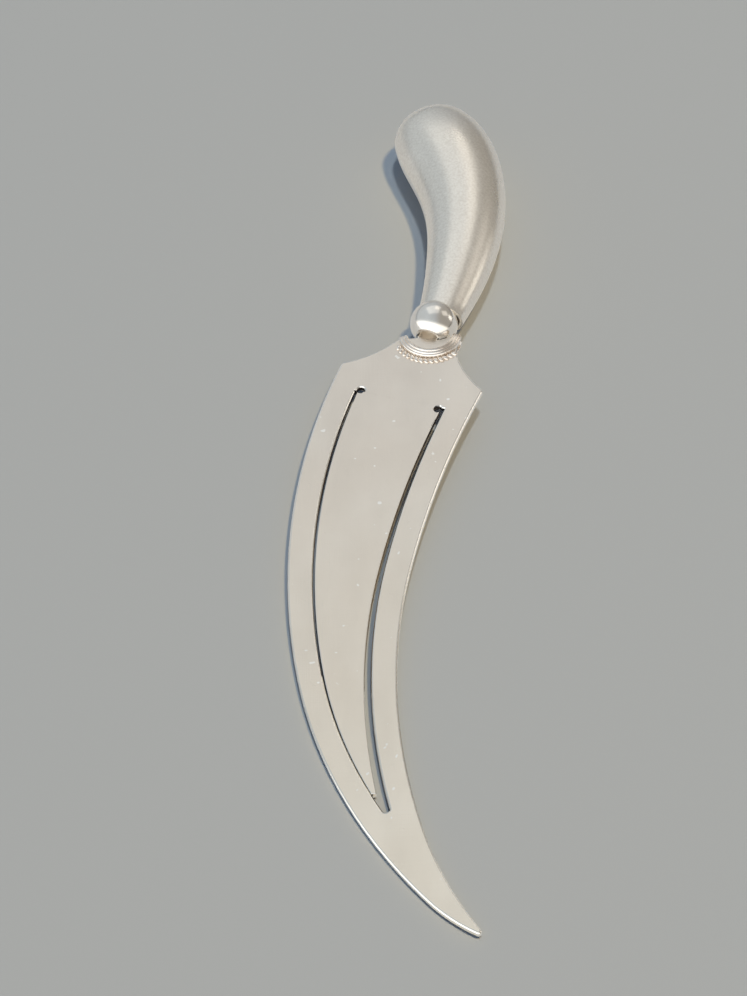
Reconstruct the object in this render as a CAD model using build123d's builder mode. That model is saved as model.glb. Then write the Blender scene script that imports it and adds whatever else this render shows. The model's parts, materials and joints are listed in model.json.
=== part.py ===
"""Silver page-clip bookmark in the shape of a curved dagger.

The pieces are drawn on a bench frame: its origin is the centre of the ball, +Y runs up the neck to the handle
and +Z is the front of the sheet. At the end the whole bookmark is laid on its rear, as it rests on a table.
"""

import math
import os

from build123d import *

# Blade sheet
sheet_thickness = 0.6
outer_shoulder_reach = 7.05
inner_shoulder_reach = 7.13
shoulder_drop = 7.4
shoulder_sagitta = 0.33
corner_radius = 0.5
neck_drop = 3.7
outer_neck_reach = 3.1
inner_neck_reach = 3.45
outer_neck_top_reach = 2.55
inner_neck_top_reach = 2.85
tip_reach = 24.1
tip_drop = 63.7
tip_radius = 0.25
tang_width = 2.0
tang_length = 13.0

# Long edges of the blade: each leaves its shoulder at a heading and turns on two arcs, then a third meets the tip
outer_edge_heading = -93.2
outer_edge_upper_radius = 68.9
outer_edge_upper_sweep = 31.6
outer_edge_lower_radius = 45.6
outer_edge_lower_sweep = 31.5
inner_edge_heading = -96.7
inner_edge_upper_radius = 103.0
inner_edge_upper_sweep = 12.5
inner_edge_lower_radius = 56.7
inner_edge_lower_sweep = 27.7

# Spring tongue, sawn free in a window of the blade
outer_rail_width = 2.45
inner_rail_width = 2.52
outer_rail_taper = 0.5
inner_rail_taper = 0.5
slot_width = 0.33
slot_flare = 0.4
root_drop = 10.5
window_tip_reach = 13.9
window_tip_drop = 56.0
window_tip_radius = 0.33
tongue_tip_reach = 11.6
tongue_tip_drop = 53.7
tongue_tip_radius = 0.1
slot_hole_diameter = 0.8
outer_hole_reach = 4.15
outer_hole_drop = 10.3
inner_hole_reach = 3.67
inner_hole_drop = 10.75
flex_gap = 0.04

# Ball bolster
ball_diameter = 4.7
ball_clearance = 0.04
tang_clearance = 0.02

# Crescent guard and the rope border below it
guard_radius = 3.05
guard_drop = 1.85
guard_end_drop = 2.1
guard_end_turn = 17.0
guard_width = 0.85
guard_height = 0.6
guard_chamfer = 0.18
guard_turn = 6.0
rope_width = 0.66
rope_gap = 0.03
rope_half_sweep = 58.0
rope_lobe_pitch = 0.5
rope_groove_width = 0.12
rope_groove_depth = 0.25
rope_slant = 35.0
rope_sides = 8

# Hollow pistol-grip handle
grip_half_width = 4.8
grip_flatness_share = 0.8
grip_wall = 0.36
grip_side_step = 0.34
grip_rise = 0.95
grip_lean = 1.7
grip_stem_radius = 51.4
grip_stem_sweep = 11.6
grip_bend_radius = 27.2
grip_bend_sweep = 35.3
grip_head_length = 3.4
grip_head_sink = 0.8
grip_place_shares = (0.0, 0.2, 0.4, 0.6, 0.8, 1.0)
grip_radius_shares = (0.48, 0.635, 0.77, 0.89, 1.0, 0.92)
core_sides = 10
core_head_share = 0.6

# How the bookmark lies on the table
lie_turn = 18.0
lie_pitch = 2.1
lie_roll = 3.8

half_sheet = sheet_thickness / 2
ball_radius = ball_diameter / 2
tip = (tip_reach, -tip_drop)
outer_corner = (-outer_shoulder_reach, -shoulder_drop)
inner_corner = (inner_shoulder_reach, -shoulder_drop)
outer_hole = (-outer_hole_reach, -outer_hole_drop)
inner_hole = (inner_hole_reach, -inner_hole_drop)


def heading_vector(degrees):
    """Unit vector at an angle from the bench's X axis."""
    angle = math.radians(degrees)
    return (math.cos(angle), math.sin(angle))


def long_edge(corner, heading, upper_radius, upper_sweep, lower_radius, lower_sweep):
    """Draws one long edge of the blade, from its shoulder to the tip."""
    upper = JernArc(corner, heading_vector(heading), upper_radius, upper_sweep)
    lower = JernArc(upper @ 1, upper % 1, lower_radius, lower_sweep)
    TangentArc(lower @ 1, tip, tangent=lower % 1)


def neck_top(across):
    """Upper corner of the neck, on the slanted line where the guard's ends are cut."""
    return (across, across * math.tan(math.radians(guard_end_turn)) - guard_end_drop)


def sawn_edge(corner, heading, radius, sweep, inset, veer, end):
    """Draws one side of the window or the tongue, and gives its upper end.

    It starts at the root, on an arc that stands an inset nearer to the centre of the long edge's upper arc, and veers
    from that arc by a few tenths of a degree.
    """
    centre = Vector(*corner) + Vector(*heading_vector(heading + 90)) * radius
    sawn_radius = radius - inset
    rise = -root_drop - centre.Y
    start = (centre.X - math.sqrt(sawn_radius**2 - rise**2), -root_drop)
    start_heading = -90 - math.degrees(math.asin(rise / sawn_radius))
    upper = JernArc(start, heading_vector(start_heading + veer), sawn_radius, heading + sweep - start_heading)
    TangentArc(upper @ 1, end, tangent=upper % 1)
    return start


def sawn_leaf(margin, inner_veer, end, end_radius):
    """Leaf between two sawn sides, a margin inside the rails, that meet at an end and are rounded there."""
    with BuildSketch() as leaf:
        with BuildLine():
            outer_start = sawn_edge(
                outer_corner,
                outer_edge_heading,
                outer_edge_upper_radius,
                outer_edge_upper_sweep,
                outer_rail_width + margin,
                -outer_rail_taper,
                end,
            )
            inner_start = sawn_edge(
                inner_corner,
                inner_edge_heading,
                inner_edge_upper_radius,
                inner_edge_upper_sweep,
                -inner_rail_width - margin,
                inner_veer,
                end,
            )
            Line(outer_start, inner_start)
        make_face()
        fillet(leaf.vertices().sort_by_distance(end)[0], end_radius)
    return leaf.sketch


def grip_plane(place):
    """Plane square to the handle's spine, with its Y axis along the sheet's normal."""
    along = grip_spine % place
    return Plane(grip_spine @ place, x_dir=Vector(0, 0, 1).cross(along), z_dir=along)


# Blade: outline, neck, tang, the tongue's window and the drilled ends of its two saw cuts
with BuildPart() as blade:
    with BuildSketch(Plane.XY.offset(-half_sheet)) as blade_outline:
        with BuildLine():
            long_edge(
                outer_corner,
                outer_edge_heading,
                outer_edge_upper_radius,
                outer_edge_upper_sweep,
                outer_edge_lower_radius,
                outer_edge_lower_sweep,
            )
            long_edge(
                inner_corner,
                inner_edge_heading,
                inner_edge_upper_radius,
                inner_edge_upper_sweep,
                inner_edge_lower_radius,
                inner_edge_lower_sweep,
            )
            outer_flare = (-outer_neck_reach, -neck_drop)
            inner_flare = (inner_neck_reach, -neck_drop)
            outer_top = neck_top(-outer_neck_top_reach)
            inner_top = neck_top(inner_neck_top_reach)
            SagittaArc(outer_flare, outer_corner, shoulder_sagitta)
            SagittaArc(inner_flare, inner_corner, -shoulder_sagitta)
            Polyline(outer_flare, outer_top, inner_top, inner_flare)
        make_face()
        for corner in (outer_corner, inner_corner):
            fillet(blade_outline.vertices().sort_by_distance(corner)[0], corner_radius)
        fillet(blade_outline.vertices().sort_by_distance(tip)[0], tip_radius)
        Circle(ball_radius + ball_clearance, mode=Mode.SUBTRACT)
        with Locations((0, (tang_length - neck_drop) / 2)):
            Rectangle(tang_width, tang_length + neck_drop)
        add(
            sawn_leaf(0, inner_rail_taper, (window_tip_reach, -window_tip_drop), window_tip_radius),
            mode=Mode.SUBTRACT,
        )
        with Locations(outer_hole, inner_hole):
            Circle(slot_hole_diameter / 2, mode=Mode.SUBTRACT)
    extrude(amount=sheet_thickness)
    with BuildSketch(Plane.YZ.offset(-outer_hole_reach)):
        with Locations((-root_drop, 0)):
            Circle(half_sheet + flex_gap)
    extrude(amount=outer_hole_reach + inner_hole_reach, mode=Mode.SUBTRACT)
blade.part.label = "blade"

# Tongue: leaf inside the window, with a round root on the line where it flexes
with BuildPart() as tongue:
    with BuildSketch(Plane.XY.offset(-half_sheet)):
        add(
            sawn_leaf(
                slot_width,
                inner_rail_taper - slot_flare,
                (tongue_tip_reach, -tongue_tip_drop),
                tongue_tip_radius,
            )
        )
    extrude(amount=sheet_thickness)
    with BuildSketch(Plane.YZ.offset(-outer_hole_reach)):
        with Locations((-root_drop, 0)):
            Circle(half_sheet)
    extrude(amount=outer_hole_reach + inner_hole_reach)
    with BuildSketch(Plane.XY.offset(-half_sheet)):
        with Locations(outer_hole, inner_hole):
            Circle(slot_hole_diameter / 2)
    extrude(amount=sheet_thickness, mode=Mode.SUBTRACT)
tongue.part.label = "tongue"

# Ball: bead bolster with a slot for the tang
with BuildPart() as ball:
    Sphere(ball_radius)
    Box(
        tang_width + 2 * tang_clearance,
        ball_diameter,
        sheet_thickness + 2 * tang_clearance,
        mode=Mode.SUBTRACT,
    )
ball.part.label = "ball"

# Guard: crescent strap below the ball on each face of the neck, with chamfered edges
guard_centre = Vector(0, -guard_drop).rotate(Axis.Z, guard_turn)
guard_end_plane = Plane((0, -guard_end_drop, 0), z_dir=heading_vector(guard_end_turn - 90))
with BuildPart() as guard_front:
    with BuildSketch(Plane.XY.offset(half_sheet)):
        with Locations(guard_centre):
            Circle(guard_radius)
            Circle(guard_radius - guard_width, mode=Mode.SUBTRACT)
        split(bisect_by=guard_end_plane, keep=Keep.TOP)
    extrude(amount=guard_height)
    chamfer(guard_front.faces().sort_by(Axis.Z)[-1].edges(), guard_chamfer)
guard_front.part.label = "guard_front"

with BuildPart() as guard_rear:
    mirror(guard_front.part, about=Plane.XY)
guard_rear.part.label = "guard_rear"

# Rope border: half of an eight-sided wire along the guard's lower edge, with a slanted groove between its lobes
rope_radius = guard_radius + rope_gap + rope_width / 2
rope_lobes = round(math.radians(2 * rope_half_sweep) * rope_radius / rope_lobe_pitch)
rope_plane = Plane(guard_centre, x_dir=heading_vector(guard_turn - 90 - rope_half_sweep), z_dir=(0, 0, 1))
with BuildPart() as rope_border_front:
    with BuildSketch(Plane(rope_plane.origin, x_dir=rope_plane.x_dir, z_dir=-rope_plane.y_dir)):
        with Locations((rope_radius, half_sheet)):
            RegularPolygon(rope_width / 2, rope_sides)
            Rectangle(rope_width, rope_width, align=(Align.CENTER, Align.MIN), mode=Mode.INTERSECT)
    revolve(axis=Axis(guard_centre, (0, 0, 1)), revolution_arc=2 * rope_half_sweep)
    rope_top = half_sheet + rope_width / 2
    with BuildSketch(rope_plane.offset(rope_top)):
        with PolarLocations(rope_radius, rope_lobes - 1, 2 * rope_half_sweep / rope_lobes, 2 * rope_half_sweep):
            Rectangle(2 * rope_width, rope_groove_width, rotation=rope_slant)
    extrude(amount=-rope_groove_depth, mode=Mode.SUBTRACT)
rope_border_front.part.label = "rope_border_front"

with BuildPart() as rope_border_rear:
    mirror(rope_border_front.part, about=Plane.XY)
rope_border_rear.part.label = "rope_border_rear"

# Handle: two stamped halves that seat on the ball, and the cement that fills their faceted hollow round the tang
with BuildLine() as grip_line:
    stem = JernArc((grip_side_step, grip_rise), heading_vector(90 - grip_lean), grip_stem_radius, grip_stem_sweep)
    JernArc(stem @ 1, stem % 1, grip_bend_radius, grip_bend_sweep)
grip_spine = grip_line.wire()

with BuildPart() as grip_core:
    for place, share in zip(grip_place_shares, grip_radius_shares):
        core_radius = share * grip_half_width - grip_wall
        with BuildSketch(grip_plane(place)):
            RegularPolygon(core_radius, core_sides)
    with BuildSketch(grip_plane(1).offset(core_head_share * grip_head_length)):
        RegularPolygon(core_head_share * core_radius, core_sides)
    loft(ruled=True)
    scale(by=(1, 1, grip_flatness_share))

with BuildPart() as handle_front_shell:
    for place, share in zip(grip_place_shares, grip_radius_shares):
        grip_radius = share * grip_half_width
        with BuildSketch(grip_plane(place)):
            Circle(grip_radius, arc_size=180, align=None)
    loft()
    head_radius = grip_head_length + grip_head_sink
    with BuildSketch(Plane(grip_spine @ 1, x_dir=grip_spine % 1, z_dir=(0, 0, 1))):
        with Locations((-grip_head_sink, 0)):
            Ellipse(head_radius, grip_radius / math.sqrt(1 - (grip_head_sink / head_radius) ** 2))
        Rectangle(grip_head_length, grip_radius, align=Align.MIN, mode=Mode.INTERSECT)
    revolve(axis=Axis(grip_spine @ 1, grip_spine % 1), revolution_arc=180)
    scale(by=(1, 1, grip_flatness_share))
    add(grip_core.part, mode=Mode.SUBTRACT)
    Sphere(ball_radius, mode=Mode.SUBTRACT)
handle_front_shell.part.label = "handle_front_shell"

with BuildPart() as handle_rear_shell:
    mirror(handle_front_shell.part, about=Plane.XY)
handle_rear_shell.part.label = "handle_rear_shell"

with BuildPart() as handle_filling:
    add(grip_core.part)
    Sphere(ball_radius, mode=Mode.SUBTRACT)
    Box(tang_width, 2 * tang_length, sheet_thickness, mode=Mode.SUBTRACT)
handle_filling.part.label = "handle_filling"

# Laid on the table: turned so that the length runs along Y, tilted on its rear and set down on Z = 0
pieces = [
    builder.part
    for builder in (
        blade,
        tongue,
        ball,
        guard_front,
        guard_rear,
        rope_border_front,
        rope_border_rear,
        handle_front_shell,
        handle_rear_shell,
        handle_filling,
    )
]
tilt = Location((0, 0, 0), (lie_pitch, -lie_roll, -lie_turn))
reach = Compound([piece.moved(tilt) for piece in pieces]).bounding_box()
lie = Location((-reach.center().X, -reach.center().Y, -reach.min.Z)) * tilt

os.makedirs("parts", exist_ok=True)
for piece in pieces:
    export_step(piece.moved(lie), f"parts/{piece.label}.step")
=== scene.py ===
# %% [markdown]
# # A silver page clip in the shape of a curved dagger
#
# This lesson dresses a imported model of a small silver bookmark. A flat blade is pierced by two saw cuts
# that free a long spring tongue, a polished ball and a crescent guard sit on its neck, and a hollow
# pistol-grip handle closes it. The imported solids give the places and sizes. Here the pieces get the worn
# edges, twisted wire, seams and finishes that make silver look like silver.

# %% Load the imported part
import json
import math

import bpy
import numpy as np
from mathutils import Matrix, Vector
from mathutils.kdtree import KDTree


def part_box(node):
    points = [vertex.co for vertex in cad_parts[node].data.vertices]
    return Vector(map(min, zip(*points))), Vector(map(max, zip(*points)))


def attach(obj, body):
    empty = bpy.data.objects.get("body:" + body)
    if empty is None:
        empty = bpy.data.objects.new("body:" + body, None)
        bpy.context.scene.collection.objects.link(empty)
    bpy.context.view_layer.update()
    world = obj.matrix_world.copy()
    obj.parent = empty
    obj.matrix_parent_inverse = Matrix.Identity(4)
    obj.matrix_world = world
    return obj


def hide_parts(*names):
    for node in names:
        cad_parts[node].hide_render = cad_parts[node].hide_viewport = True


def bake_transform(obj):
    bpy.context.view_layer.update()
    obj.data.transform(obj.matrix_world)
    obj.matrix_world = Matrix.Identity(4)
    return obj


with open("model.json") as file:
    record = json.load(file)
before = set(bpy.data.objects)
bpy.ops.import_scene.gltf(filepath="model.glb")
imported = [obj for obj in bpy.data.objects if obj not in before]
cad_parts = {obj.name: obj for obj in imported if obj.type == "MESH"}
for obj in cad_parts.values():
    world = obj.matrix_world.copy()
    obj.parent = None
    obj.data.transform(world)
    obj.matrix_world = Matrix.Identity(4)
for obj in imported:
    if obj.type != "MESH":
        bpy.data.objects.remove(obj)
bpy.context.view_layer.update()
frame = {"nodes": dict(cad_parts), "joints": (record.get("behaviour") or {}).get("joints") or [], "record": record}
print("CAD nodes:", sorted(frame["nodes"]))

# %% [markdown]
# ## The maker's bench
#
# A silversmith works on a bench, square to the sheet, and lays the finished piece on a table at the end. We
# do the same. On the bench one unit is a millimetre, the centre of the ball is the origin, Y runs up the
# neck and Z is the front of the sheet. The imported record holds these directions: the tongue's hinge runs
# across the sheet, a page slides up the clip against the neck, and the tongue's face gives the front.
# Millimetres also suit operators that merge or bevel, whose limits are meant for bigger things.

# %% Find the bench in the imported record
MILLIMETRE = 0.001

mounts = {mount["name"]: mount for mount in frame["record"]["mounts"]}
across = -Vector(frame["joints"][0]["axis"])
up_the_neck = -Vector(mounts["page_clip"]["axis"])
sheet_front = Vector(mounts["tongue_face"]["axis"])
ball_low, ball_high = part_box("ball")
ball_centre = (ball_low + ball_high) / 2
bench_turn = Matrix((across, up_the_neck, sheet_front)).transposed().to_4x4()
bench = Matrix.Translation(ball_centre) @ bench_turn @ Matrix.Scale(MILLIMETRE, 4)
print("ball centre on the table, mm:", [round(value / MILLIMETRE, 2) for value in ball_centre])

# %% [markdown]
# Blender's operators act on whatever is selected. So a piece is taken up alone before it is worked on, and
# its vertices or faces are picked by a test of their place or direction.

# %% Take up a piece and pick its elements
SELECT_MODES = {"vertices": "VERT", "polygons": "FACE"}


def take_up(piece):
    """Makes one piece the only selected and active one, in object mode."""
    if bpy.context.mode != "OBJECT":
        bpy.ops.object.mode_set(mode="OBJECT")
    bpy.ops.object.select_all(action="DESELECT")
    piece.select_set(True)
    bpy.context.view_layer.objects.active = piece


def pick(piece, kind, wanted):
    """Selects, in edit mode, only the vertices or faces that a test accepts, and counts them."""
    bpy.ops.mesh.select_mode(type=SELECT_MODES[kind])
    bpy.ops.mesh.select_all(action="DESELECT")
    bpy.ops.object.mode_set(mode="OBJECT")
    found = [element for element in getattr(piece.data, kind) if wanted(element)]
    for element in found:
        element.select = True
    bpy.ops.object.mode_set(mode="EDIT")
    return len(found)


# %% [markdown]
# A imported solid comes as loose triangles. Its copy on the bench is welded into one mesh first, because
# loose triangles can't be filed or bent together. A finished piece is shaded, laid on the table and stands
# there for its solid.

# %% Copy a solid to the bench and lay a piece on the table
LOOSE_WELD = 0.002


def bench_copy(node, name):
    """Copies a CAD node to the bench and welds its loose triangles into one mesh."""
    piece = bpy.data.objects.new(name, frame["nodes"][node].data.copy())
    bpy.context.scene.collection.objects.link(piece)
    piece.data.materials.clear()
    piece.data.transform(bench.inverted())
    take_up(piece)
    bpy.ops.mesh.customdata_custom_splitnormals_clear()
    bpy.ops.object.mode_set(mode="EDIT")
    bpy.ops.mesh.select_all(action="SELECT")
    bpy.ops.mesh.remove_doubles(threshold=LOOSE_WELD)
    return piece


def lay_down(piece, node, smooth_degrees):
    """Shades a finished piece, lays it on the table and lets it stand for its CAD node."""
    take_up(piece)
    bpy.ops.object.shade_smooth_by_angle(angle=math.radians(smooth_degrees))
    piece.matrix_world = bench
    bpy.ops.object.transform_apply(location=True, rotation=True, scale=True)
    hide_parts(node)
    print(piece.name, "has", len(piece.data.polygons), "faces")


# %% [markdown]
# ## Blade
#
# The blade is sawn from sheet about 0.6 mm thick. It could be drawn anew as an outline, but the solid
# already has the right one, so the piece starts as a welded copy of it. In the solid a round groove lets
# the tongue turn. The real sheet is whole there, so the groove is pressed flat on the line where the tongue
# starts, and the pressed vertices are welded.

# %% Blade from its solid, with the groove pressed flat
SHEET_HALF = 0.3
ROOT_Y = -10.5
ROOT_LEFT, ROOT_RIGHT = -3.8, 3.36
ROOT_REACH = 0.4
GROOVE_RADIUS = 0.34
GROOVE_TOLERANCE = 0.006


def in_groove(vertex):
    """True for a vertex on the wall of the round groove at the tongue's root."""
    x, y, z = vertex.co
    on_wall = abs(math.hypot(y - ROOT_Y, z) - GROOVE_RADIUS) < GROOVE_TOLERANCE
    return on_wall and ROOT_LEFT - ROOT_REACH < x < ROOT_RIGHT + ROOT_REACH


blade = bench_copy("blade", "Blade")
print("vertices pressed flat at the root:", pick(blade, "vertices", in_groove))
bpy.ops.transform.resize(value=(1, 0, 1), center_override=(0, ROOT_Y, 0))

# %% Weld the pressed root
LINE_TOLERANCE = 0.001
ROOT_RIM = 0.25
ROOT_WELD = 0.03
ROOT_SLIVER = 0.01


def at_root(vertex):
    """True for a pressed vertex on the root line."""
    on_line = abs(vertex.co.y - ROOT_Y) < LINE_TOLERANCE
    return on_line and ROOT_LEFT - ROOT_REACH < vertex.co.x < ROOT_RIGHT + ROOT_REACH


def past_root(vertex):
    """True for a pressed vertex that still reaches into the right drilled hole."""
    return at_root(vertex) and vertex.co.x > ROOT_RIGHT


def weld_root(piece):
    """Draws the pressed root back to the hole, sharpens its two rims and welds it."""
    pick(piece, "vertices", past_root)
    bpy.ops.transform.resize(value=(0, 1, 1), center_override=(ROOT_RIGHT, 0, 0))
    for side in (1, -1):
        pick(piece, "vertices", lambda vertex: at_root(vertex) and side * vertex.co.z > ROOT_RIM)
        bpy.ops.transform.resize(value=(1, 1, 0), center_override=(0, ROOT_Y, side * SHEET_HALF))
    print(piece.name, "vertices at the root:", pick(piece, "vertices", at_root))
    bpy.ops.mesh.remove_doubles(threshold=ROOT_WELD)
    bpy.ops.mesh.select_all(action="SELECT")
    bpy.ops.mesh.dissolve_degenerate(threshold=ROOT_SLIVER)


weld_root(blade)

# %% [markdown]
# ## Filed edges
#
# A sawn edge is sharp, so a smith takes it off with a few strokes of a file, first steep, then shallow.
# Each stroke here insets the flat faces by its width and lowers the rim by its depth. A bevel would be the
# usual way, but it warps on these long thin faces. Where strokes meet in a sharp corner, slivers fold over,
# and they are welded.
#
# Filed rims keep the bright finish of rubbed metal. Walls near the saw cut, which no cloth reaches, get a
# dark one of brown tarnish and painted shade, so the places along the cut are noted first.

# %% Where the saw went
TONGUE_END_Y = -53.7
TONGUE_TIP = Vector((11.6, TONGUE_END_Y, 0))
WINDOW_TIP = Vector((13.9, -56.0, 0))
TIP_SHARES = (0.25, 0.5, 0.75, 1.0)

sawn_places = [bench.inverted() @ vertex.co for vertex in frame["nodes"]["tongue"].data.vertices]
sawn_places += [TONGUE_TIP.lerp(WINDOW_TIP, share) for share in TIP_SHARES]
saw_cut = KDTree(len(sawn_places))
for number, sawn_place in enumerate(sawn_places):
    saw_cut.insert(sawn_place, number)
saw_cut.balance()
print("places along the saw cut:", len(sawn_places))

# %% Flat faces and rims of a sheet
FLAT = 0.999
RIM_SLIVER_AREA = 0.0005
ROOT_BAND = 0.12
ROOT_BAND_LEFT, ROOT_BAND_RIGHT = ROOT_LEFT - 0.1, ROOT_RIGHT + 0.05


def faces_side(face, side):
    """True for a flat face on the front of the sheet, side 1, or on its rear, side -1."""
    return side * face.normal.z > FLAT and side * face.center.z > 0


def rim_of(piece, side):
    """Numbers of the vertices on the rim of one side of a sheet, apart from the tongue's root."""
    bpy.ops.object.mode_set(mode="OBJECT")
    vertices, faces = piece.data.vertices, piece.data.polygons
    slopes = [face for face in faces if face.area > RIM_SLIVER_AREA and abs(face.normal.z) < FLAT]
    rim = set()
    for index in {index for face in slopes for index in face.vertices}:
        x, y, z = vertices[index].co
        near_root = abs(y - ROOT_Y) < ROOT_BAND and ROOT_BAND_LEFT < x < ROOT_BAND_RIGHT
        if abs(z - side * SHEET_HALF) < LINE_TOLERANCE and not near_root:
            rim.add(index)
    bpy.ops.object.mode_set(mode="EDIT")
    return rim


# %% Folded slivers
TURNED_INWARDS = -0.1
FOLD_WELD = 0.06
THINNEST = 0.004


def weld_folds(piece):
    """Welds the slivers that fold over where filing strokes meet in a corner."""
    bpy.ops.object.mode_set(mode="OBJECT")
    folded = [face for face in piece.data.polygons if face.normal.z * face.center.z < TURNED_INWARDS]
    corners = {index for face in folded for index in face.vertices}
    bpy.ops.object.mode_set(mode="EDIT")
    found = pick(piece, "vertices", lambda vertex: vertex.index in corners)
    print(piece.name, "corners of folded slivers:", found)
    bpy.ops.mesh.remove_doubles(threshold=FOLD_WELD)
    bpy.ops.mesh.select_all(action="SELECT")
    bpy.ops.mesh.dissolve_degenerate(threshold=THINNEST)


# %% Strokes of the file
EDGE_FINISH, CUT_FINISH = 1, 2
FILED, STEEP = 0.98, 0.5
CUT_REACH = 2.0


def mark_finishes(piece):
    """Gives filed faces the finish of rubbed edges, and steep ones near the saw cut the dark one of tarnish and
    painted shade.
    """
    filed = [face for face in piece.data.polygons if abs(face.normal.z) < FILED]
    for face in filed:
        *_, distance = saw_cut.find(face.center)
        in_cut = abs(face.normal.z) < STEEP and distance < CUT_REACH
        face.material_index = CUT_FINISH if in_cut else EDGE_FINISH
    print(piece.name, "filed faces:", len(filed))


def file_edges(piece, strokes):
    """Rounds the rims on both sides of a sheet by strokes of a width and a depth."""
    for side in (1, -1):
        for width, depth in strokes:
            pick(piece, "polygons", lambda face: faces_side(face, side))
            bpy.ops.mesh.inset(thickness=width, depth=0, use_even_offset=False)
            rim = rim_of(piece, side)
            pick(piece, "vertices", lambda vertex: vertex.index in rim)
            bpy.ops.transform.translate(value=(0, 0, -side * depth))
    weld_folds(piece)
    bpy.ops.object.mode_set(mode="OBJECT")
    mark_finishes(piece)


# %% File the blade and lay it down
BLADE_FILING = ((0.09, 0.11), (0.08, 0.025))
SHEET_SMOOTHING = 12
UNBENT = 0.9995


def keep_flat(piece):
    """Leaves the flat faces of a laid sheet unsmoothed, so that no rim shades them."""
    flat = [face for face in piece.data.polygons if abs(face.normal.dot(sheet_front)) > UNBENT]
    for face in flat:
        face.use_smooth = False
    print(piece.name, "flat faces:", len(flat))


# The third finish is brown tarnish in the saw cuts, with painted shade that is black near the root.
for finish in ("satin_silver", "rubbed_edge_silver", "tarnished_cut"):
    blade.data.materials.append(bpy.data.materials.new(finish))
satin_silver, rubbed_edge_silver, tarnished_cut = blade.data.materials
file_edges(blade, BLADE_FILING)
lay_down(blade, "blade", SHEET_SMOOTHING)
keep_flat(blade)
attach(blade, "blade_and_handle")

# %% [markdown]
# ## Spring tongue
#
# The tongue is the leaf inside the two saw cuts. It is still part of the sheet at its root and bends there
# like a leaf spring. Its solid ends in a round hinge, which is pressed flat like the groove. The left saw
# cut is narrower towards the tip, so the leaf's left edge is turned by a third of a degree. The root wall
# is closed with one clean face and laps the blade by a hair, so that the sheet looks whole.

# %% Tongue from its solid
tongue = bench_copy("tongue", "Spring_tongue")
print("vertices pressed flat at the root:", pick(tongue, "vertices", lambda vertex: vertex.co.y > ROOT_Y))
bpy.ops.transform.resize(value=(1, 0, 1), center_override=(0, ROOT_Y, 0))
weld_root(tongue)
for finish in (satin_silver, rubbed_edge_silver, tarnished_cut):
    tongue.data.materials.append(finish)

# %% Close the left cut towards the tip
SLOT_CLOSING = math.radians(0.32)
LEFT_HOLE = Vector((-4.15, -10.3, 0))
UPRIGHT, LEFTWARDS = 0.1, 0.35
LEFT_EDGE_TOP = ROOT_Y - 0.5


def on_left_edge(face):
    """True for a wall of the leaf that looks at the left rail, below the root."""
    upright = abs(face.normal.z) < UPRIGHT
    return upright and face.normal.x < LEFTWARDS and face.center.y < LEFT_EDGE_TOP


print("walls on the left edge:", pick(tongue, "polygons", on_left_edge))
bpy.ops.transform.rotate(value=SLOT_CLOSING, orient_axis="Z", center_override=LEFT_HOLE)

# %% Lap the root on the blade
ROOT_LAP = 0.004
ROOT_MARGIN = 0.005

pick(tongue, "vertices", lambda vertex: vertex.co.y > ROOT_Y - ROOT_MARGIN)
bpy.ops.transform.resize(value=(1, 0, 1), center_override=(0, ROOT_Y + ROOT_LAP, 0))
print("faces on the pressed root wall:", pick(tongue, "polygons", lambda face: face.center.y > ROOT_Y))
bpy.ops.mesh.delete(type="FACE")
bpy.ops.mesh.select_mode(type="EDGE")
bpy.ops.mesh.select_non_manifold()
bpy.ops.mesh.edge_face_add()

# %% [markdown]
# The leaf is filed more lightly than the blade, and pages rub its tip bright. A mesh bends only where it
# has vertices, so the leaf is cut across every millimetre or two.

# %% File the leaf and wear its tip
TONGUE_FILING = ((0.04, 0.04), (0.03, 0.012))
WORN_TIP_Y = -43.0

file_edges(tongue, TONGUE_FILING)
dark_walls = [face for face in tongue.data.polygons if face.material_index == CUT_FINISH]
worn = [face for face in dark_walls if face.center.y < WORN_TIP_Y]
for face in worn:
    face.material_index = EDGE_FINISH
print("faces rubbed bright by pages at the tip:", len(worn))

# %% Cut the leaf across
CROSS_CUTS = 30

bpy.ops.object.mode_set(mode="EDIT")
for cut in range(1, CROSS_CUTS):
    bpy.ops.mesh.select_all(action="SELECT")
    cut_y = ROOT_Y + (TONGUE_END_Y - ROOT_Y) * cut / CROSS_CUTS
    bpy.ops.mesh.bisect(plane_co=(0, cut_y, 0), plane_no=(0, 1, 0))
bpy.ops.mesh.select_all(action="SELECT")
bpy.ops.mesh.dissolve_degenerate(threshold=THINNEST)
bpy.ops.object.mode_set(mode="OBJECT")
lay_down(tongue, "tongue", SHEET_SMOOTHING)
keep_flat(tongue)
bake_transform(tongue)

# %% [markdown]
# ## Ball
#
# The ball is a bead that is threaded on the tang before the handle goes on. It starts as a sphere with its
# poles along the neck. The faces round each pole are inset and sunk a little, like a filed collar, and then
# pushed deep into the bead as a hole for the tang.

# %% Ball with its tang holes
BALL_RADIUS = 2.35
COLLAR_Y, COLLAR_WIDTH, COLLAR_STEP = 2.02, 0.07, 0.04
HOLE_DEPTH, HOLE_FLOOR_Y, FLOOR_FLATTENING = 0.7, 1.3, 0.1
BALL_SMOOTHING = 35
SEAM_WELD = 0.001
POLES_ALONG_NECK = (math.pi / 2, 0, 0)


def close_up():
    """Welds the mesh in edit mode and turns its faces outwards."""
    bpy.ops.mesh.select_all(action="SELECT")
    bpy.ops.mesh.remove_doubles(threshold=SEAM_WELD)
    bpy.ops.mesh.normals_make_consistent(inside=False)
    bpy.ops.object.mode_set(mode="OBJECT")


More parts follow.
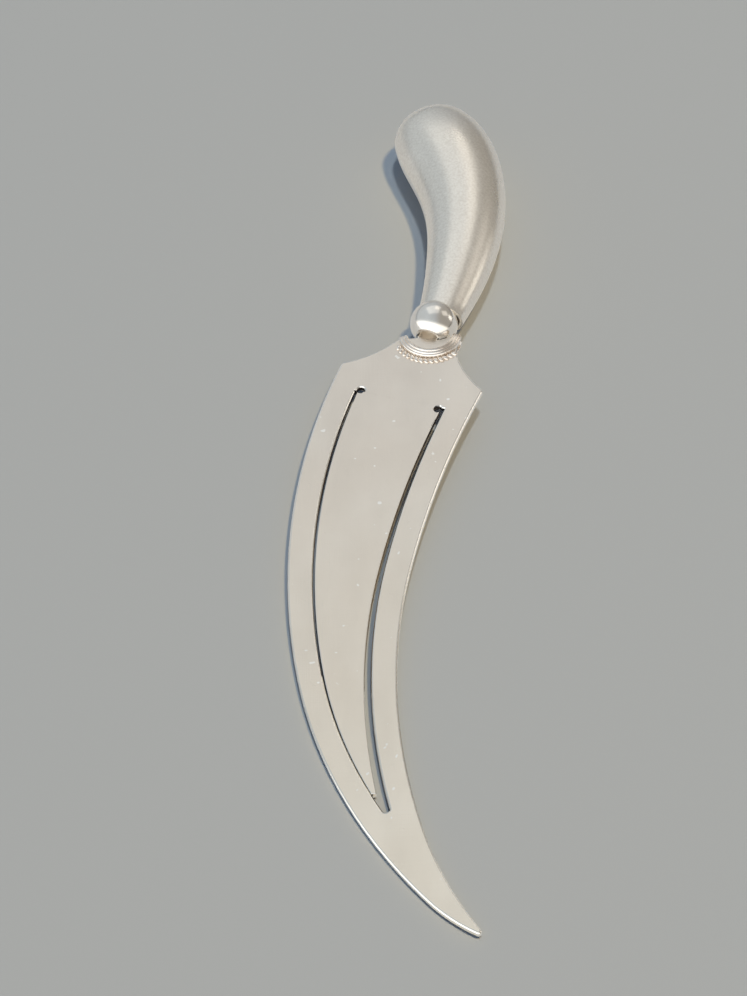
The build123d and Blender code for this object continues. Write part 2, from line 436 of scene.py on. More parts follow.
bpy.ops.object.select_all(action="DESELECT")
bpy.ops.mesh.primitive_uv_sphere_add(
    segments=72, ring_count=48, radius=BALL_RADIUS, rotation=POLES_ALONG_NECK
)
ball = bpy.context.object
ball.name = ball.data.name = "Ball"
bpy.ops.object.transform_apply(rotation=True)
bpy.ops.object.mode_set(mode="EDIT")
for end in (-1, 1):
    pick(ball, "polygons", lambda face: end * face.center.y > COLLAR_Y)
    bpy.ops.mesh.inset(thickness=COLLAR_WIDTH, depth=-COLLAR_STEP)
    bpy.ops.mesh.extrude_region_move(TRANSFORM_OT_translate={"value": (0, -end * HOLE_DEPTH, 0)})
    bpy.ops.transform.resize(value=(1, FLOOR_FLATTENING, 1), center_override=(0, end * HOLE_FLOOR_Y, 0))
close_up()
mirror_silver = bpy.data.materials.new("mirror_silver")
ball.data.materials.append(mirror_silver)
lay_down(ball, "ball", BALL_SMOOTHING)
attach(ball, "blade_and_handle")

# %% [markdown]
# ## Crescent guard
#
# A crescent strap is soldered on each face of the neck and cups the ball. Reeds run along its front, and
# each stands a little higher than the one outside it. A silversmith would draw such a strip through a
# shaped plate and bend it. We do much the same: a section of places, each a distance from the guard's
# centre and a height over the middle of the sheet, is drawn once and spun round that centre. The steps are
# short near the horns, where the rings shrink to round ends.

# %% Guard section
GUARD_TURN = math.radians(6)
GUARD_DROP = 1.85
GUARD_CENTRE = Vector((GUARD_DROP * math.sin(GUARD_TURN), -GUARD_DROP * math.cos(GUARD_TURN), 0))
GUARD_START = math.radians(201)
GUARD_SECTION = (
    (2.2, 0.3),
    (3.05, 0.3),
    (3.05, 0.58),
    (2.99, 0.7),
    (2.9, 0.74),
    (2.81, 0.69),
    (2.74, 0.78),
    (2.64, 0.83),
    (2.54, 0.78),
    (2.47, 0.87),
    (2.36, 0.92),
    (2.26, 0.86),
    (2.2, 0.74),
)


def from_guard_centre(turn, distance, height):
    """Place at a turn and distance from the guard's centre."""
    return GUARD_CENTRE + Vector((distance * math.cos(turn), distance * math.sin(turn), height))


def drawn_section(name):
    """New piece in edit mode with the guard's section at its first horn, all selected."""
    bpy.ops.object.select_all(action="DESELECT")
    bpy.ops.mesh.primitive_circle_add(vertices=len(GUARD_SECTION), radius=1)
    guard = bpy.context.object
    guard.name = guard.data.name = name
    for vertex, (distance, height) in zip(guard.data.vertices, GUARD_SECTION):
        vertex.co = from_guard_centre(GUARD_START, distance, height)
    bpy.ops.object.mode_set(mode="EDIT")
    bpy.ops.mesh.select_all(action="SELECT")
    return guard


# %% Spin the section and round its horns
GUARD_SPINS = ((4, math.radians(6)), (36, math.radians(160)), (4, math.radians(6)))
GUARD_MIDDLE = 2.62
HORN_SHARES = (0.35, 0.66, 0.86, 0.96)


def on_ring(number, count):
    """Test for the vertices of one spun ring, which follow each other in the mesh."""
    return lambda vertex: vertex.index // count == number


def spun_guard(name):
    """Front guard on the bench: the section spun round the guard's centre, with rounded horns."""
    guard, count = drawn_section(name), len(GUARD_SECTION)
    for steps, sweep in GUARD_SPINS:
        bpy.ops.mesh.spin(
            steps=steps, angle=-sweep, center=GUARD_CENTRE, axis=(0, 0, 1), use_auto_merge=False
        )
    last = sum(steps for steps, sweep in GUARD_SPINS)
    end_turn = GUARD_START + sum(sweep for steps, sweep in GUARD_SPINS)
    step_turn = GUARD_SPINS[0][1] / GUARD_SPINS[0][0]
    for number, share in enumerate(HORN_SHARES):
        inwards = number * step_turn
        for ring, turn in ((number, GUARD_START + inwards), (last - number, end_turn - inwards)):
            pick(guard, "vertices", on_ring(ring, count))
            foot = from_guard_centre(turn, GUARD_MIDDLE, SHEET_HALF)
            bpy.ops.transform.resize(value=(share, share, share), center_override=foot)
    for ring in (0, last):
        pick(guard, "vertices", on_ring(ring, count))
        bpy.ops.mesh.edge_face_add()
    return guard


# %% Guards on both faces of the neck
GUARD_SMOOTHING = 45


def flip_to_rear():
    """Mirrors the mesh in edit mode from the front of the sheet to its rear."""
    bpy.ops.mesh.select_all(action="SELECT")
    bpy.ops.transform.mirror(constraint_axis=(False, False, True), center_override=(0, 0, 0))


bright_silver = bpy.data.materials.new("bright_silver")
for face_name in ("front", "rear"):
    guard = spun_guard(f"Guard_{face_name}")
    if face_name == "rear":
        flip_to_rear()
    close_up()
    guard.data.materials.append(bright_silver)
    lay_down(guard, f"guard_{face_name}", GUARD_SMOOTHING)
    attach(guard, "blade_and_handle")

# %% [markdown]
# ## Rope border
#
# Below each guard lies a wire of two twisted strands, flattened on the sheet. Seen from above, the strands
# make a row of slanted lobes. One lobe is shaped from a sphere that is cut off a little below the face of
# the sheet. It is then copied along the arc by spin, which can leave separate copies instead of a skin.

# %% One lobe of the wire
ROPE_RADIUS = 3.4
ROPE_HALF_SWEEP = math.radians(57)
ROPE_LOBES = 14
LOBE_HALF_SIZES = (0.37, 0.24, 0.24)
LOBE_SLANT = math.radians(38)
LOBE_SINK = 0.02


def first_lobe(name):
    """New piece in edit mode with the first lobe of the front wire."""
    lobe_turn = GUARD_TURN - math.pi / 2 - ROPE_HALF_SWEEP + ROPE_HALF_SWEEP / ROPE_LOBES
    outwards = Vector((math.cos(lobe_turn), math.sin(lobe_turn), 0))
    bpy.ops.object.select_all(action="DESELECT")
    bpy.ops.mesh.primitive_uv_sphere_add(
        segments=20,
        ring_count=12,
        radius=1,
        scale=LOBE_HALF_SIZES,
        location=GUARD_CENTRE + outwards * ROPE_RADIUS + Vector((0, 0, SHEET_HALF)),
        rotation=(0, 0, lobe_turn + LOBE_SLANT),
    )
    rope = bpy.context.object
    rope.name = rope.data.name = name
    bpy.ops.object.transform_apply(location=True, rotation=True, scale=True)
    bpy.ops.object.mode_set(mode="EDIT")
    bpy.ops.mesh.select_all(action="SELECT")
    lobe_foot = (0, 0, SHEET_HALF - LOBE_SINK)
    bpy.ops.mesh.bisect(plane_co=lobe_foot, plane_no=(0, 0, 1), clear_inner=True, use_fill=True)
    return rope


# %% Wires along both guards
ROPE_SMOOTHING = 50
ROPE_SPIN = 2 * ROPE_HALF_SWEEP * (ROPE_LOBES - 1) / ROPE_LOBES

for face_name in ("front", "rear"):
    rope = first_lobe(f"Rope_border_{face_name}")
    bpy.ops.mesh.select_all(action="SELECT")
    bpy.ops.mesh.spin(
        steps=ROPE_LOBES - 1,
        dupli=True,
        angle=-ROPE_SPIN,
        center=GUARD_CENTRE,
        axis=(0, 0, 1),
        use_auto_merge=False,
    )
    if face_name == "rear":
        flip_to_rear()
    close_up()
    rope.data.materials.append(bright_silver)
    lay_down(rope, f"rope_border_{face_name}", ROPE_SMOOTHING)
    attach(rope, "blade_and_handle")

# %% [markdown]
# ## Hollow handle
#
# The handle is stamped from thin silver in two halves, front and rear, that are soldered together along the
# outline and filled with cement. Its spine is two arcs, so a circle spun round the centre of each arc gives
# a tube that bends the right way. Each ring of the tube is then scaled to the grip's own width, and the
# head is closed by rings that shrink along a quarter of an ellipse.

# %% Tube along the spine
SPINE_START = Vector((0.34, 0.95, 0))
SPINE_HEADING = math.radians(88.3)
SPINE_ARCS = ((51.4, math.radians(11.6), 8), (27.2, math.radians(35.3), 13))
RING_POINTS = 48
ACROSS_SPINE = (math.pi / 2, 0, SPINE_HEADING - math.pi / 2)

bpy.ops.object.select_all(action="DESELECT")
bpy.ops.mesh.primitive_circle_add(
    vertices=RING_POINTS, radius=1, location=SPINE_START, rotation=ACROSS_SPINE
)
grip = bpy.context.object
bpy.ops.object.transform_apply(location=True, rotation=True)
bpy.ops.object.mode_set(mode="EDIT")
bpy.ops.mesh.select_all(action="SELECT")
ring_centres, ring_places = [SPINE_START.copy()], [0.0]
spine_length = sum(radius * sweep for radius, sweep, steps in SPINE_ARCS)
place, heading, walked = SPINE_START.copy(), SPINE_HEADING, 0.0
for radius, sweep, steps in SPINE_ARCS:
    arc_centre = place + radius * Vector((-math.sin(heading), math.cos(heading), 0))
    bpy.ops.mesh.spin(steps=steps, angle=-sweep, center=arc_centre, axis=(0, 0, 1), use_auto_merge=False)
    for step in range(1, steps + 1):
        turned = heading + sweep * step / steps
        ring_centres.append(arc_centre + radius * Vector((math.sin(turned), -math.cos(turned), 0)))
        ring_places.append((walked + radius * sweep * step / steps) / spine_length)
    place, heading, walked = ring_centres[-1], heading + sweep, walked + radius * sweep
print("spine length, mm:", round(spine_length, 2), "rings:", len(ring_centres))

# %% Width of the grip, ring by ring
GRIP_HALF_WIDTH = 4.8
GRIP_FLATNESS = 0.8
WIDTH_PLACES = (0.0, 0.2, 0.4, 0.6, 0.8, 1.0)
WIDTH_SHARES = (0.48, 0.635, 0.77, 0.89, 1.0, 0.92)

width_curve = np.polynomial.Polynomial.fit(WIDTH_PLACES, WIDTH_SHARES, len(WIDTH_PLACES) - 1)
for number, (centre, along) in enumerate(zip(ring_centres, ring_places)):
    half_width = GRIP_HALF_WIDTH * float(width_curve(along))
    half_sizes = (half_width, half_width, half_width * GRIP_FLATNESS)
    pick(grip, "vertices", on_ring(number, RING_POINTS))
    bpy.ops.transform.resize(value=half_sizes, center_override=centre)
print("half width at the head, mm:", round(half_width, 2))

# %% Domed head
HEAD_LENGTH = 3.4
HEAD_SINK = 0.8
HEAD_RINGS = 8
LAST_STEP = 0.35

head_axis = HEAD_LENGTH + HEAD_SINK
first_angle = math.asin(HEAD_SINK / head_axis)
forwards = Vector((math.cos(heading), math.sin(heading), 0))
done_length, done_width = 0.0, 1.0
for ring in range(1, HEAD_RINGS + 1):
    angle = first_angle + (math.pi / 2 - first_angle) * ring / (HEAD_RINGS + LAST_STEP)
    length, width = head_axis * math.sin(angle) - HEAD_SINK, math.cos(angle) / math.cos(first_angle)
    bpy.ops.mesh.extrude_region_move(TRANSFORM_OT_translate={"value": forwards * (length - done_length)})
    share = width / done_width
    bpy.ops.transform.resize(value=(share, share, share), center_override=place + forwards * length)
    done_length, done_width = length, width
bpy.ops.mesh.extrude_region_move(TRANSFORM_OT_translate={"value": forwards * (HEAD_LENGTH - done_length)})
bpy.ops.mesh.merge(type="CENTER")
close_up()
print("grip faces:", len(grip.data.polygons))

# %% [markdown]
# ## Two halves of the handle
#
# The tube is copied for each half, and the other half is cut away at the sheet's middle plane. Solidify
# gives each half the wall of a stamping, inwards, so that the outline stays. A small bevel rounds the rims,
# and the two rounded rims make the fine soldered seam along the outline. Last, a ball-sized sphere is cut
# from the lower end, as a smith files a cup to seat the handle on the bead.

# %% Half of the grip with its wall, seam and seat
WALL = 0.34
SEAM_ROUND, SEAM_SEGMENTS, SEAM_ANGLE = 0.05, 2, math.radians(50)

bpy.ops.object.select_all(action="DESELECT")
bpy.ops.mesh.primitive_uv_sphere_add(segments=96, ring_count=64, radius=BALL_RADIUS)
seat_cutter = bpy.context.object


def half_grip(name, kept_side):
    """Copy of the grip that keeps its front, side 1, or its rear, side -1."""
    shell = grip.copy()
    shell.data = grip.data.copy()
    shell.name = shell.data.name = name
    bpy.context.scene.collection.objects.link(shell)
    take_up(shell)
    bpy.ops.object.mode_set(mode="EDIT")
    pick(shell, "polygons", lambda face: kept_side * face.center.z < 0)
    bpy.ops.mesh.delete(type="FACE")
    bpy.ops.object.mode_set(mode="OBJECT")
    return shell


def stamp(shell):
    """Gives a half of the grip its wall, the rounded rims of its seam and its seat on the ball."""
    wall = shell.modifiers.new("wall", "SOLIDIFY")
    wall.thickness = WALL
    wall.offset = -1
    seam = shell.modifiers.new("seam", "BEVEL")
    seam.width, seam.segments, seam.angle_limit = SEAM_ROUND, SEAM_SEGMENTS, SEAM_ANGLE
    seat = shell.modifiers.new("seat", "BOOLEAN")
    seat.operation = "DIFFERENCE"
    seat.object = seat_cutter
    for modifier in ("wall", "seam", "seat"):
        bpy.ops.object.modifier_apply(modifier=modifier)


# %% Front and rear shells
SHELL_SMOOTHING = 40

stamped_silver = bpy.data.materials.new("stamped_silver")
for face_name, kept_side in (("front", 1), ("rear", -1)):
    shell = half_grip(f"Handle_{face_name}_shell", kept_side)
    stamp(shell)
    shell.data.materials.clear()
    shell.data.materials.append(stamped_silver)
    lay_down(shell, f"handle_{face_name}_shell", SHELL_SMOOTHING)
    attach(shell, "blade_and_handle")
for scrap in (grip, seat_cutter):
    bpy.data.objects.remove(scrap)

# %% [markdown]
# ## Finishes
#
# Old silver isn't one colour. Its satin faces carry a warm grey film, fine scratches that run with the
# rubbing cloth, and tiny pits, and its edges are rubbed bright. Each finish is a metal shader whose colour,
# roughness and bump come from noise in object coordinates, so nothing slides or stretches, and the blade
# and its tongue share one pattern.

# %% Fresh shader
def finish_nodes(material):
    """Gives a material a fresh shader and returns its nodes, links, shader and object coordinates."""
    material.use_nodes = True
    nodes, links = material.node_tree.nodes, material.node_tree.links
    nodes.clear()
    output = nodes.new("ShaderNodeOutputMaterial")
    shader = nodes.new("ShaderNodeBsdfPrincipled")
    links.new(shader.outputs["BSDF"], output.inputs["Surface"])
    coordinates = nodes.new("ShaderNodeTexCoord").outputs["Object"]
    return nodes, links, shader, coordinates


def tell(material):
    """Prints how many nodes a finish is made of."""
    print(material.name, "has", len(material.node_tree.nodes), "nodes")


# %% Noise and colour ramps
def noise(nodes, links, coordinates, scale, detail, stretch=None, turn=0.0):
    """Noise at a scale per metre, stretched along a direction where asked."""
    if stretch is not None:
        mapping = nodes.new("ShaderNodeMapping")
        mapping.inputs["Scale"].default_value = stretch
        mapping.inputs["Rotation"].default_value = (0, 0, turn)
        links.new(coordinates, mapping.inputs["Vector"])
        coordinates = mapping.outputs["Vector"]
    texture = nodes.new("ShaderNodeTexNoise")
    texture.inputs["Scale"].default_value = scale
    texture.inputs["Detail"].default_value = detail
    links.new(coordinates, texture.inputs["Vector"])
    return texture.outputs["Fac"]


def ramp(nodes, links, value, stops):
    """Colour ramp from places and colours; a single number is a grey."""
    node = nodes.new("ShaderNodeValToRGB")
    elements = node.color_ramp.elements
    while len(elements) < len(stops):
        elements.new(0.5)
    for element, (position, colour) in zip(elements, stops):
        element.position = position
        element.color = (*colour, 1) if isinstance(colour, tuple) else (colour, colour, colour, 1)
    links.new(value, node.inputs["Fac"])
    return node.outputs["Color"]


# %% Mixed colours and stacked bumps
def mixed(nodes, links, share, first, second):
    """Colour that goes from a first to a second one by a share."""
    mix = nodes.new("ShaderNodeMix")
    mix.data_type = "RGBA"
    for socket, value in (("Factor", share), ("A", first), ("B", second)):
        links.new(value, mix.inputs[socket])
    return mix.outputs["Result"]


def bumps(nodes, links, shader, layers):
    """Stacks bump layers of height, strength and depth in metres on a shader."""
    normal = None
    for height, strength, depth in layers:
        bump = nodes.new("ShaderNodeBump")
        bump.inputs["Strength"].default_value = strength
        bump.inputs["Distance"].default_value = depth
        links.new(height, bump.inputs["Height"])
        if normal is not None:
            links.new(normal, bump.inputs["Normal"])
        normal = bump.outputs["Normal"]
    links.new(normal, shader.inputs["Normal"])


# %% [markdown]
# The sheet is satin: a broad, soft reflection. Its colour is painted light along its length: a cooler, pinkish
# grey and darker at the top, paler and creamier towards the tip. Two sets of fine scratches cross it, planishing
# with a hammer has left it faintly uneven, a few pits catch the light, and here and there a speck is bright. The
# same recipe with paler tones and less roughness gives the rubbed edges.

# %% Way along the blade
NECK_Y, TIP_Y = 0.012, -0.045


def along_blade(nodes, links, coordinates):
    """Share of the way from the neck to the tip."""
    place = nodes.new("ShaderNodeSeparateXYZ")
    links.new(coordinates, place.inputs["Vector"])
    share = nodes.new("ShaderNodeMapRange")
    share.inputs["From Min"].default_value = NECK_Y
    share.inputs["From Max"].default_value = TIP_Y
    links.new(place.outputs["Y"], share.inputs["Value"])
    return share.outputs["Result"]


# %% Recipe for satin silver
SPECKS = [(0.74, 0.0), (0.77, 1.0)]
SPECK_TONES = [(0.3, (0.98, 0.95, 0.88)), (0.7, (1.0, 0.98, 0.93))]
PITS = [(0.0, 1.0), (0.7, 1.0), (0.78, 0.0)]
PLANISHING_DEPTH, SCRATCH_DEPTH, PIT_DEPTH = 0.0003, 0.00002, 0.00003


def make_satin(material, upper_tones, lower_tones, rough, scratch_strength):
    """Satin silver: clouded tone with painted light, paler towards the tip, bright specks, scratches and pits."""
    nodes, links, shader, coordinates = finish_nodes(material)
    clouds = noise(nodes, links, coordinates, scale=90, detail=4)
    # Upper and lower tones paint light: the sheet darker and cooler at the neck, paler and warmer towards the tip.
    upper = ramp(nodes, links, clouds, upper_tones)
    lower = ramp(nodes, links, clouds, lower_tones)
    tone = mixed(nodes, links, along_blade(nodes, links, coordinates), upper, lower)
    specks = ramp(nodes, links, noise(nodes, links, coordinates, scale=1300, detail=1), SPECKS)
    bright = ramp(nodes, links, clouds, SPECK_TONES)
    links.new(mixed(nodes, links, specks, tone, bright), shader.inputs["Base Color"])
    smears = noise(nodes, links, coordinates, scale=240, detail=5, stretch=(1.6, 0.5, 1.0), turn=0.3)
    links.new(ramp(nodes, links, smears, rough), shader.inputs["Roughness"])
    shader.inputs["Metallic"].default_value = 1.0
    scratches = noise(nodes, links, coordinates, scale=900, detail=2, stretch=(9.0, 0.35, 1.0), turn=0.35)
    crossing = noise(nodes, links, coordinates, scale=700, detail=2, stretch=(0.4, 8.0, 1.0), turn=0.9)
    pits = ramp(nodes, links, noise(nodes, links, coordinates, scale=1500, detail=1), PITS)
    planishing = noise(nodes, links, coordinates, scale=140, detail=1)
    layers = [
        (planishing, 0.25, PLANISHING_DEPTH),
        (scratches, scratch_strength, SCRATCH_DEPTH),
        (crossing, scratch_strength, SCRATCH_DEPTH),
        (pits, 0.3, PIT_DEPTH),
    ]
    bumps(nodes, links, shader, layers)
    tell(material)


# %% Satin faces and rubbed edges
make_satin(
    satin_silver,
    upper_tones=[(0.3, (0.76, 0.69, 0.61)), (0.7, (0.83, 0.77, 0.69))],
    lower_tones=[(0.3, (0.89, 0.81, 0.68)), (0.7, (0.95, 0.88, 0.76))],
    rough=[(0.3, 0.3), (0.7, 0.4)],
    scratch_strength=0.5,
)
make_satin(
    rubbed_edge_silver,
    upper_tones=[(0.3, (0.9, 0.86, 0.79)), (0.7, (0.95, 0.92, 0.87))],
    lower_tones=[(0.3, (0.9, 0.86, 0.78)), (0.7, (0.95, 0.92, 0.85))],
    rough=[(0.3, 0.14), (0.7, 0.24)],
    scratch_strength=0.25,
)

# %% [markdown]
# No cloth reaches the walls of the saw cuts, so they tarnish brown towards the tip. Near the root, where the
# cuts are deep in shade, they are painted black as painted shade. Tarnish is a dull crust, so this finish isn't a
# metal.

# %% Tarnish and painted shade in the saw cuts
# Black is painted shade deep in the cuts near the root. Brown is tarnish towards the tip.
BLACK_TONES = [(0.35, (0.02, 0.017, 0.014)), (0.7, (0.07, 0.05, 0.035))]
BROWN_TONES = [(0.35, (0.2, 0.14, 0.08)), (0.7, (0.36, 0.27, 0.16))]
BROWNING = [(0.12, 0.0), (0.38, 1.0)]

nodes, links, shader, coordinates = finish_nodes(tarnished_cut)
stain = noise(nodes, links, coordinates, scale=500, detail=3)
black = ramp(nodes, links, stain, BLACK_TONES)
brown = ramp(nodes, links, stain, BROWN_TONES)
near_tip = ramp(nodes, links, along_blade(nodes, links, coordinates), BROWNING)
links.new(mixed(nodes, links, near_tip, black, brown), shader.inputs["Base Color"])
shader.inputs["Roughness"].default_value = 0.6
tell(tarnished_cut)

# %% [markdown]
# The ball is the brightest piece. It is polished after the soldering, and its round face mirrors the whole
# room, so it gets a low roughness and only a thin film of wear.

# %% Polished ball
FILM_TONES = [(0.35, (0.88, 0.83, 0.76)), (0.7, (0.94, 0.91, 0.86))]
WEAR_DEPTH = 0.00002

nodes, links, shader, coordinates = finish_nodes(mirror_silver)
film = noise(nodes, links, coordinates, scale=350, detail=3)
links.new(ramp(nodes, links, film, FILM_TONES), shader.inputs["Base Color"])
links.new(ramp(nodes, links, film, [(0.35, 0.14), (0.75, 0.24)]), shader.inputs["Roughness"])
shader.inputs["Metallic"].default_value = 1.0
wear = noise(nodes, links, coordinates, scale=1200, detail=3)
bumps(nodes, links, shader, [(wear, 0.12, WEAR_DEPTH)])
tell(mirror_silver)

# %% [markdown]
# Guard and wire are rubbed bright on their ridges and stay duller and warmer in the hollows. The ridges are
# too fine to paint one by one, so a fine noise mixes both tones and makes the pale places smoother.

# %% Bright wire and guard
RIDGE_TONES = [(0.3, (0.84, 0.74, 0.64)), (0.6, (0.96, 0.9, 0.83))]

nodes, links, shader, coordinates = finish_nodes(bright_silver)
film = noise(nodes, links, coordinates, scale=900, detail=3)
links.new(ramp(nodes, links, film, RIDGE_TONES), shader.inputs["Base Color"])
links.new(ramp(nodes, links, film, [(0.3, 0.32), (0.7, 0.18)]), shader.inputs["Roughness"])
shader.inputs["Metallic"].default_value = 1.0
wear = noise(nodes, links, coordinates, scale=2500, detail=3)
bumps(nodes, links, shader, [(wear, 0.2, WEAR_DEPTH)])
tell(bright_silver)

# %% [markdown]
# The handle is a stamping that has been handled for years. Its skin is finely grained, and broad clouds of
# grey and pale silver lie over the grain. One noise gives the grain its colour and its bump, so that both
# agree.

# %% Stamped handle
GREY_TONES = [(0.3, (0.8, 0.75, 0.67)), (0.7, (0.93, 0.88, 0.79))]
PALE_TONES = [(0.3, (0.86, 0.81, 0.73)), (0.68, (0.99, 0.95, 0.88))]
GRAIN_DEPTH = 0.00002

nodes, links, shader, coordinates = finish_nodes(stamped_silver)
clouds = noise(nodes, links, coordinates, scale=160, detail=4)
grain = noise(nodes, links, coordinates, scale=4500, detail=2)
grey = ramp(nodes, links, grain, GREY_TONES)
pale = ramp(nodes, links, grain, PALE_TONES)
links.new(mixed(nodes, links, clouds, grey, pale), shader.inputs["Base Color"])
links.new(ramp(nodes, links, clouds, [(0.3, 0.26), (0.7, 0.34)]), shader.inputs["Roughness"])
shader.inputs["Metallic"].default_value = 1.0
bumps(nodes, links, shader, [(grain, 0.5, GRAIN_DEPTH)])
tell(stamped_silver)

# %% [markdown]
# The cement inside the handle is brown pitch. Only its face round the tang could ever show, so it stays as
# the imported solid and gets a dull, grainy finish.

# %% Cement filling
PITCH_TONES = [(0.3, (0.1, 0.07, 0.05)), (0.7, (0.2, 0.15, 0.11))]
PITCH_DEPTH = 0.0001

pitch_cement = bpy.data.materials.new("pitch_cement")
nodes, links, shader, coordinates = finish_nodes(pitch_cement)
grains = noise(nodes, links, coordinates, scale=1400, detail=4)
links.new(ramp(nodes, links, grains, PITCH_TONES), shader.inputs["Base Color"])
shader.inputs["Roughness"].default_value = 0.85
bumps(nodes, links, shader, [(grains, 0.5, PITCH_DEPTH)])
filling = frame["nodes"]["handle_filling"]
filling.data.materials.clear()
filling.data.materials.append(pitch_cement)
tell(pitch_cement)

# %% [markdown]
# ## Floor, light and camera
#
# Silver shows what surrounds it, so the surroundings are chosen with care. The floor is a plain grey. It is
# a shade paler in the silver's mirror, so that the rims don't turn dull.

# %% Floor
FLOOR_SIZE = 4.0
FLOOR_GREYS = [(0.0, (0.378, 0.388, 0.384)), (1.0, (0.55, 0.56, 0.57))]

bpy.ops.object.select_all(action="DESELECT")
bpy.ops.mesh.primitive_plane_add(size=FLOOR_SIZE)
floor = bpy.context.object
floor.name = "Floor"
floor_paint = bpy.data.materials.new("floor_paint")
nodes, links, shader, coordinates = finish_nodes(floor_paint)
mirrored = nodes.new("ShaderNodeLightPath").outputs["Is Glossy Ray"]
links.new(ramp(nodes, links, mirrored, FLOOR_GREYS), shader.inputs["Base Color"])
shader.inputs["Roughness"].default_value = 0.6
floor.data.materials.append(floor_paint)
tell(floor_paint)

# %% [markdown]
# Metal and floor ask for different light, so each lamp serves one of them. Four soft lamps are only
# mirrored: a wide one behind for the sheet, a narrow one for the crest of the handle, one for its right
# flank, and a small bright one on the right for the streak and the right rims. Two small lamps far above
# light only the floor. The warm one comes from the right and throws a broad bluish shadow to the left, and
# the cool one, nearly overhead, leaves a dark core beside the handle.

# %% Lamps
CREAM, PALE_CREAM = (1.0, 0.96, 0.9), (1.0, 0.93, 0.82)
WARM, COOL = (1.0, 0.77, 0.42), (0.81, 0.91, 1.0)
MIRRORED_LAMPS = (
    ("Back_lamp", (-0.041, 0.323, 0.503), (0.48, 0.5), 0.3, CREAM),
    ("Crest_lamp", (0.13, 0.4, 0.43), (0.18, 0.22), 0.36, PALE_CREAM),
    ("Grip_lamp", (0.46, 0.24, 0.456), (0.26, 0.3), 0.42, CREAM),
    ("Streak_lamp", (0.65, 0.2, 0.18), (0.2, 0.22), 1.0, CREAM),
)
FLOOR_LAMPS = (
    ("Key_lamp", (0.54, -0.34, 1.8), (0.15, 0.15), 321, WARM),
    ("High_lamp", (0.1, -0.1, 1.8), (0.15, 0.15), 183, COOL),
)


def soft_lamp(name, place, size, radiance, colour, mirrored):
    """Oblong lamp that faces the bookmark: either mirrored by the silver or shining on the floor."""
    data = bpy.data.lights.new(name, "AREA")
    data.shape = "RECTANGLE"
    data.size, data.size_y = size
    data.energy = radiance * math.pi * data.size * data.size_y
    data.color = colour
    lamp = bpy.data.objects.new(name, data)
    lamp.location = place
    lamp.rotation_euler = (-Vector(place)).to_track_quat("-Z", "Y").to_euler()
    lamp.visible_camera = False
    lamp.visible_glossy = mirrored
    lamp.visible_diffuse = not mirrored
    bpy.context.scene.collection.objects.link(lamp)
    print(name, "gives", round(data.energy, 3), "W")


for lamp in MIRRORED_LAMPS:
    soft_lamp(*lamp, mirrored=True)
for lamp in FLOOR_LAMPS:
    soft_lamp(*lamp, mirrored=False)

# %% [markdown]
# The room fills what the lamps leave. In the silver's mirror its walls are cool on the left, warm on the
# right and darker near the floor, and it is bright in front, where the lower half of the ball looks. The
# floor gets a bluish shade from it instead, which colours the shadow.

# %% Directions and colours of the room
WALL_TONES = [(0.2, (0.53, 0.57, 0.6)), (0.55, (0.45, 0.47, 0.49)), (0.85, (0.36, 0.34, 0.31))]
WALL_STRENGTHS = [(0.0, 0.55), (1.0, 1.0)]
FRONT_COLOUR, SHADE_COLOUR = (1.0, 0.98, 0.94, 1), (0.085, 0.17, 0.32, 1)
RIGHT, UP, FRONT = (1, 0, 0), (0, 0, 1), (-0.3, -0.95, -0.7)

world = bpy.data.worlds.new("Room")
bpy.context.scene.world = world
world.use_nodes = True
nodes, links = world.node_tree.nodes, world.node_tree.links
direction = nodes.new("ShaderNodeTexCoord").outputs["Generated"]


def towards(aim, low, high):
    """How far a direction points to an aim, from 0 at a low share to 1 at a high one."""
    product = nodes.new("ShaderNodeVectorMath")
    product.operation = "DOT_PRODUCT"
    product.inputs[1].default_value = aim
    links.new(direction, product.inputs[0])
    spread = nodes.new("ShaderNodeMapRange")
    spread.interpolation_type = "SMOOTHSTEP"
    spread.inputs["From Min"].default_value = low
    spread.inputs["From Max"].default_value = high
    links.new(product.outputs["Value"], spread.inputs["Value"])
    return spread.outputs["Result"]


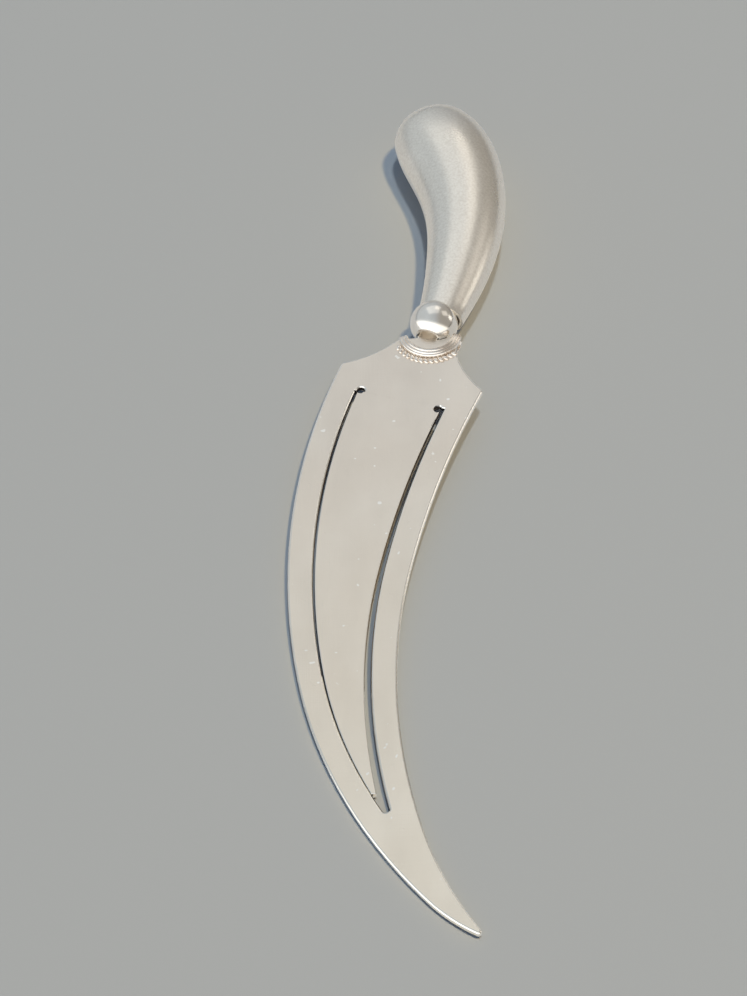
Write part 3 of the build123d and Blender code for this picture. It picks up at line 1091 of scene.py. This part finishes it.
walls = nodes["Background"]
front, shade = nodes.new("ShaderNodeBackground"), nodes.new("ShaderNodeBackground")
rightwards, upwards = towards(RIGHT, low=-1, high=1), towards(UP, low=0.0, high=0.2)
links.new(ramp(nodes, links, rightwards, WALL_TONES), walls.inputs["Color"])
links.new(ramp(nodes, links, upwards, WALL_STRENGTHS), walls.inputs["Strength"])
front.inputs["Color"].default_value = FRONT_COLOUR
links.new(towards(FRONT, low=-0.05, high=0.2), front.inputs["Strength"])
shade.inputs["Color"].default_value = SHADE_COLOUR
print("nodes for walls, front and shade:", len(nodes))

# %% Room for the mirror and shade for the floor
mirrored_room, whole_room = nodes.new("ShaderNodeAddShader"), nodes.new("ShaderNodeMixShader")
links.new(walls.outputs["Background"], mirrored_room.inputs[0])
links.new(front.outputs["Background"], mirrored_room.inputs[1])
rays, seen = nodes.new("ShaderNodeLightPath"), nodes.new("ShaderNodeMath")
links.new(rays.outputs["Is Camera Ray"], seen.inputs[0])
links.new(rays.outputs["Is Glossy Ray"], seen.inputs[1])
links.new(seen.outputs["Value"], whole_room.inputs["Fac"])
links.new(shade.outputs["Background"], whole_room.inputs[1])
links.new(mirrored_room.outputs["Shader"], whole_room.inputs[2])
links.new(whole_room.outputs["Shader"], nodes["World Output"].inputs["Surface"])
bpy.context.scene.view_settings.view_transform = "Standard"
print("room nodes:", len(nodes))

# %% [markdown]
# The camera looks down at 48 degrees through a long lens, which keeps the proportions true. Its aim is
# given from the ball, so that the picture stays framed on the bookmark.

# %% Camera
VIEW_HEIGHT = math.radians(48)
VIEW_DISTANCE = 0.22297
BALL_RIGHT_OF_AIM, BALL_ABOVE_AIM = 0.0059233, 0.0202175
LENS_LENGTH = 86.75
NEAREST_SEEN = 0.01

aim = Vector((ball_centre.x - BALL_RIGHT_OF_AIM, ball_centre.y - BALL_ABOVE_AIM, 0))
lens = bpy.data.cameras.new("Camera")
lens.lens = LENS_LENGTH
lens.clip_start = NEAREST_SEEN
camera = bpy.data.objects.new("Camera", lens)
camera.location = aim + VIEW_DISTANCE * Vector((0, -math.cos(VIEW_HEIGHT), math.sin(VIEW_HEIGHT)))
camera.rotation_euler = (math.pi / 2 - VIEW_HEIGHT, 0, 0)
bpy.context.scene.collection.objects.link(camera)
bpy.context.scene.camera = camera
print("camera place, mm:", [round(value / MILLIMETRE, 1) for value in camera.location])
